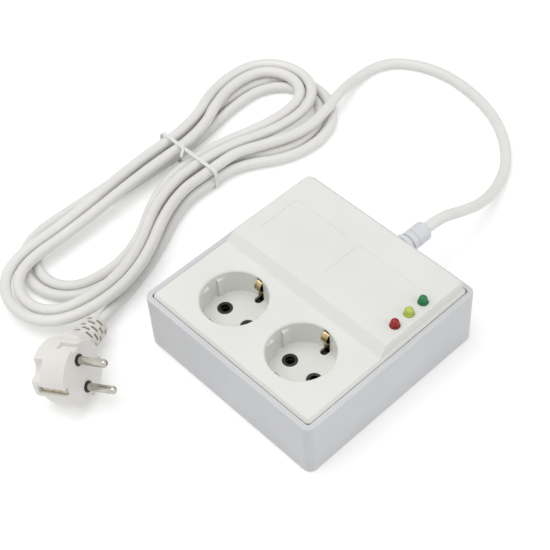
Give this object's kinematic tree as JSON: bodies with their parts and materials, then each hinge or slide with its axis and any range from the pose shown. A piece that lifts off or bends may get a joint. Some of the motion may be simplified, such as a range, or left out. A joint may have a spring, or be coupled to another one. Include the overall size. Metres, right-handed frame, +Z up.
{
  "type": "refrigerator voltage protector",
  "caption": "Square plug-in voltage protector with earthed socket recesses, a row of signal lamps and a tied mains cord with an angled plug.",
  "frame": {"origin": "centre of the case's underside, on the surface it stands on", "axes": "+Z up, +Y towards the wall with the cord gland, +X towards the side with the signal lamps"},
  "size_m": [0.263, 0.3693, 0.0536],
  "materials": {
    "case_plastic": "moulded, softly satin",
    "cover_plastic": "moulded, softly satin",
    "black_plastic": "satin",
    "steel_screws": "zinc-plated",
    "brass": "stamped strip",
    "spring_brass": "polished strip",
    "strip_brass": "stamped strip",
    "circuit_board": "solder resist",
    "relay_case": "gloss",
    "core_steel": "laminated sheet",
    "coil_tape": "wrapped tape",
    "capacitor_sleeve": "shrunk sleeve over aluminium",
    "film_capacitor_case": "gloss",
    "varistor_coat": "dipped coat",
    "fuse_glass": "clear tube with plated caps",
    "tinned_metal": "tinned",
    "chip_resin": "moulded resin",
    "resistor_coat": "lacquered",
    "terminal_plastic": "moulded",
    "lamp_red": "clear tinted resin",
    "lamp_yellow": "clear tinted resin",
    "lamp_green": "clear tinted resin",
    "wire_sleeve": "insulated wire",
    "gland_plastic": "moulded",
    "cord_sheath": "soft satin sheath",
    "tie_plastic": "coated wire",
    "plug_plastic": "moulded, satin",
    "plated_pins": "nickel-plated brass"
  },
  "bodies": {
    "case": {"base_shell": "case_plastic", "board_screws": "steel_screws", "carrier_screws": "steel_screws", "clamp_screws": "steel_screws", "contact_carrier_left": "black_plastic", "contact_carrier_right": "black_plastic", "control_board": "circuit_board", "control_chip": "chip_resin", "cord": "cord_sheath", "cord_clamp": "black_plastic", "cord_gland": "gland_plastic", "cord_hank": "cord_sheath", "cord_lead": "cord_sheath", "cord_tail": "cord_sheath", "cover_screws": "steel_screws", "diodes": "chip_resin", "earth_bar": "brass", "electrolytic_capacitors": "capacitor_sleeve", "film_capacitor": "film_capacitor_case", "fuse": "fuse_glass", "fuse_clips": "tinned_metal", "lamp_board": "circuit_board", "lamp_green": "lamp_green", "lamp_red": "lamp_red", "lamp_wires": "wire_sleeve", "lamp_yellow": "lamp_yellow", "line_bar": "brass", "mains_wires": "wire_sleeve", "neutral_bar": "brass", "pin_collars": "black_plastic", "plug_body": "plug_plastic", "plug_earth_strips": "strip_brass", "plug_pins": "plated_pins", "relay": "relay_case", "resistors": "resistor_coat", "socket_cup_left": "cover_plastic", "socket_cup_right": "cover_plastic", "socket_wires": "wire_sleeve", "terminal_block": "terminal_plastic", "terminal_screws": "steel_screws", "top_cover": "cover_plastic", "transformer_coil": "coil_tape", "transformer_core": "core_steel", "twist_tie": "tie_plastic", "varistor": "varistor_coat"},
    "earth_spring_1": {"earth_spring_1": "spring_brass"},
    "earth_spring_2": {"earth_spring_2": "spring_brass"},
    "earth_spring_3": {"earth_spring_3": "spring_brass"},
    "earth_spring_4": {"earth_spring_4": "spring_brass"}
  },
  "joints": [
    {"name": "earth_spring_1_flex", "type": "hinge", "parent": "case", "child": "earth_spring_1", "pos_m": [-0.0267, -0.0534, 0.00635], "axis": [1, 0, 0], "range_deg": [0, 4], "stiffness_Nm_per_rad": 0.6, "springref_deg": -1.15},
    {"name": "earth_spring_2_flex", "type": "hinge", "parent": "case", "child": "earth_spring_2", "pos_m": [-0.0267, -0.0114, 0.00635], "axis": [-1, 0, 0], "range_deg": [0, 4], "stiffness_Nm_per_rad": 0.6, "springref_deg": -1.15},
    {"name": "earth_spring_3_flex", "type": "hinge", "parent": "case", "child": "earth_spring_3", "pos_m": [0.0267, -0.0534, 0.00635], "axis": [1, 0, 0], "range_deg": [0, 4], "stiffness_Nm_per_rad": 0.6, "springref_deg": -1.15},
    {"name": "earth_spring_4_flex", "type": "hinge", "parent": "case", "child": "earth_spring_4", "pos_m": [0.0267, -0.0114, 0.00635], "axis": [-1, 0, 0], "range_deg": [0, 4], "stiffness_Nm_per_rad": 0.6, "springref_deg": -1.15}
  ]
}
